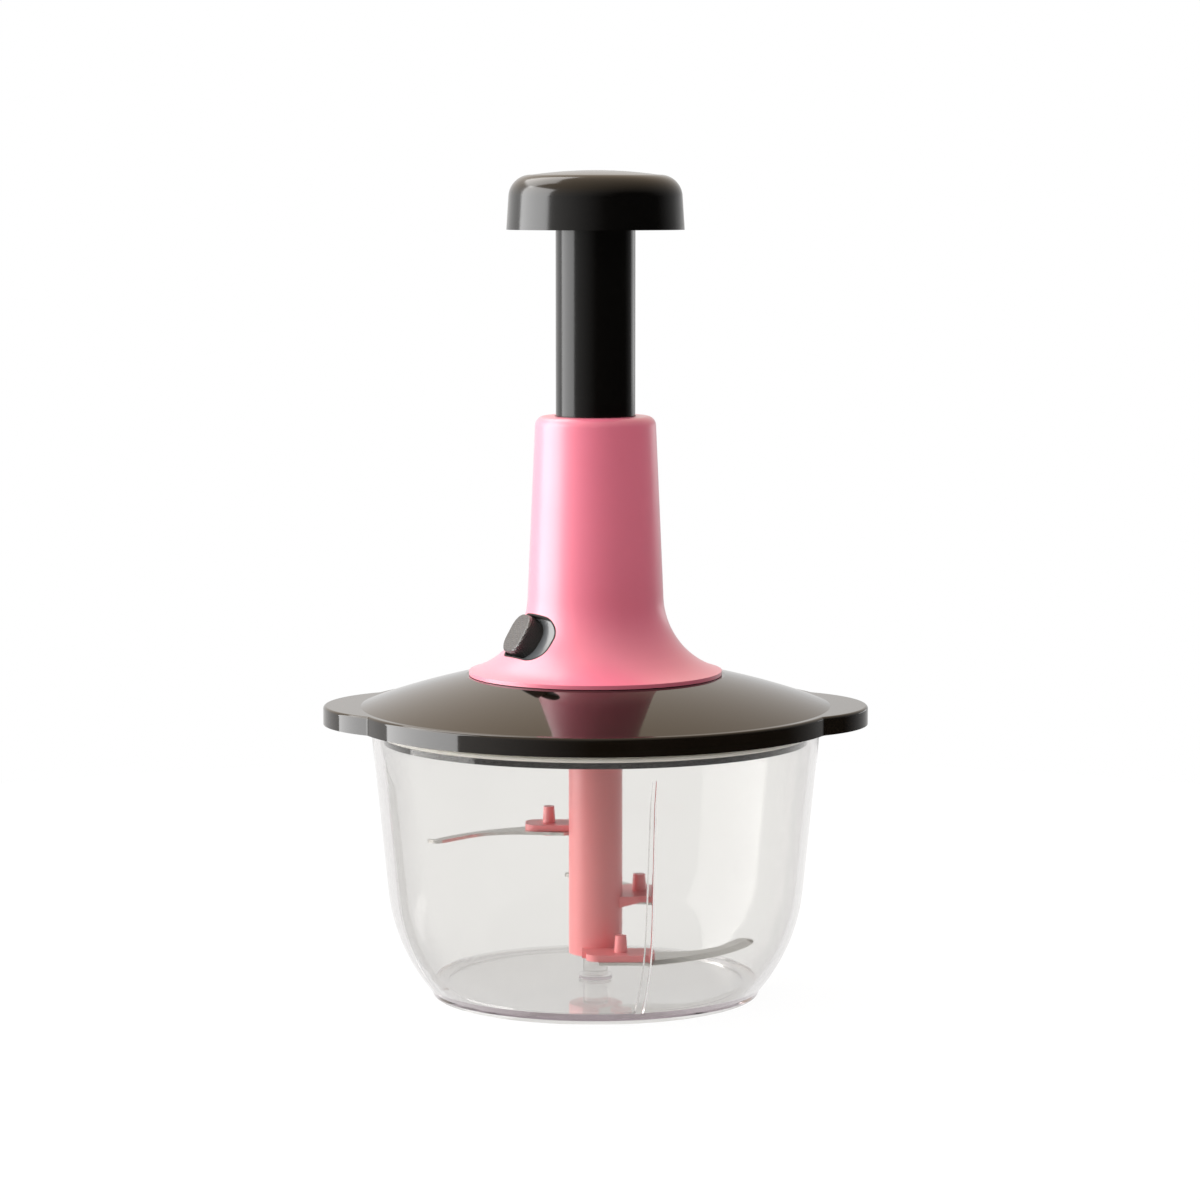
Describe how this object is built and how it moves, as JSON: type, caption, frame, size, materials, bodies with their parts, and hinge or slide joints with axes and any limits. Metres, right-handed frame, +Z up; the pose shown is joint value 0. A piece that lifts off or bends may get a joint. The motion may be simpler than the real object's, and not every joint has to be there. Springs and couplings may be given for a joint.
{
  "type": "hand press food chopper",
  "caption": "Hand-press food chopper: clear bowl, eared lid, flared neck and plunger knob whose twisted spindle spins curved blades on a central shaft.",
  "frame": {"origin": "centre of the bowl's foot ring, on the surface it stands on", "axes": "+Z up along the axis of the plunger, the spindle and the blade shaft; the lid's two ears point along +X and -X; the lock slider is on the -X, -Y side"},
  "size_m": [0.1724, 0.1532, 0.26],
  "materials": {
    "clear_plastic": "clear moulded plastic, glossy",
    "black_plastic": "glossy black moulded plastic",
    "pink_plastic": "satin pink moulded plastic",
    "dark_grey_plastic": "matt dark grey moulded plastic",
    "inner_plastic": "natural plain bearing plastic",
    "cover_plastic": "black moulded plastic, fine matt",
    "seal_silicone": "pale silicone",
    "blade_steel": "stainless steel, fine ground",
    "spindle_steel": "bright drawn steel",
    "fastener_steel": "zinc-plated steel"
  },
  "bodies": {
    "bowl": {"bowl": "clear_plastic"},
    "lid": {"lid": "black_plastic", "lid_seal": "seal_silicone", "neck_housing": "pink_plastic", "guide_bush": "inner_plastic", "spindle_bush": "inner_plastic", "mechanism_cover": "cover_plastic", "housing_screws": "fastener_steel", "cover_screws": "fastener_steel", "spring_washer": "fastener_steel", "return_spring": "fastener_steel"},
    "press": {"plunger_tube": "black_plastic", "knob": "black_plastic", "knob_screw": "fastener_steel", "drive_nut": "inner_plastic", "nut_pins": "fastener_steel"},
    "spindle": {"spindle": "spindle_steel", "thrust_washer": "fastener_steel", "retaining_clip": "fastener_steel", "drive_coupling": "inner_plastic", "coupling_screw": "fastener_steel"},
    "lock": {"lock_ring": "dark_grey_plastic", "lock_slider": "dark_grey_plastic"},
    "blades": {"blade_shaft": "pink_plastic", "blade_lower": "blade_steel", "blade_middle": "blade_steel", "blade_upper": "blade_steel", "stud_lower": "pink_plastic", "stud_middle": "pink_plastic", "stud_upper": "pink_plastic"}
  },
  "joints": [
    {"name": "lift_off", "type": "slide", "parent": "bowl", "child": "lid", "axis": [0, 0, 1], "range_m": [0, 0.12]},
    {"name": "press", "type": "slide", "parent": "lid", "child": "press", "axis": [0, 0, -1], "range_m": [0, 0.055], "stiffness_N_per_m": 220, "springref_m": -0.03, "deforming": ["return_spring"]},
    {"name": "spindle_turn", "type": "hinge", "parent": "lid", "child": "spindle", "pos_m": [0, 0, 0.1], "axis": [0, 0, -1], "range_deg": [0, 495.5]},
    {"name": "blade_turn", "type": "hinge", "parent": "bowl", "child": "blades", "pos_m": [0, 0, 0.012], "axis": [0, 0, -1], "range_deg": [0, 495.5]},
    {"name": "lock_turn", "type": "hinge", "parent": "lid", "child": "lock", "pos_m": [0, 0, 0.12], "axis": [0, 0, 1], "range_deg": [0, 15.5]}
  ],
  "couplings": [
    {"joint": "spindle_turn", "follows": "press", "rad_per_m": 157.08},
    {"joint": "blade_turn", "follows": "press", "rad_per_m": 157.08}
  ]
}
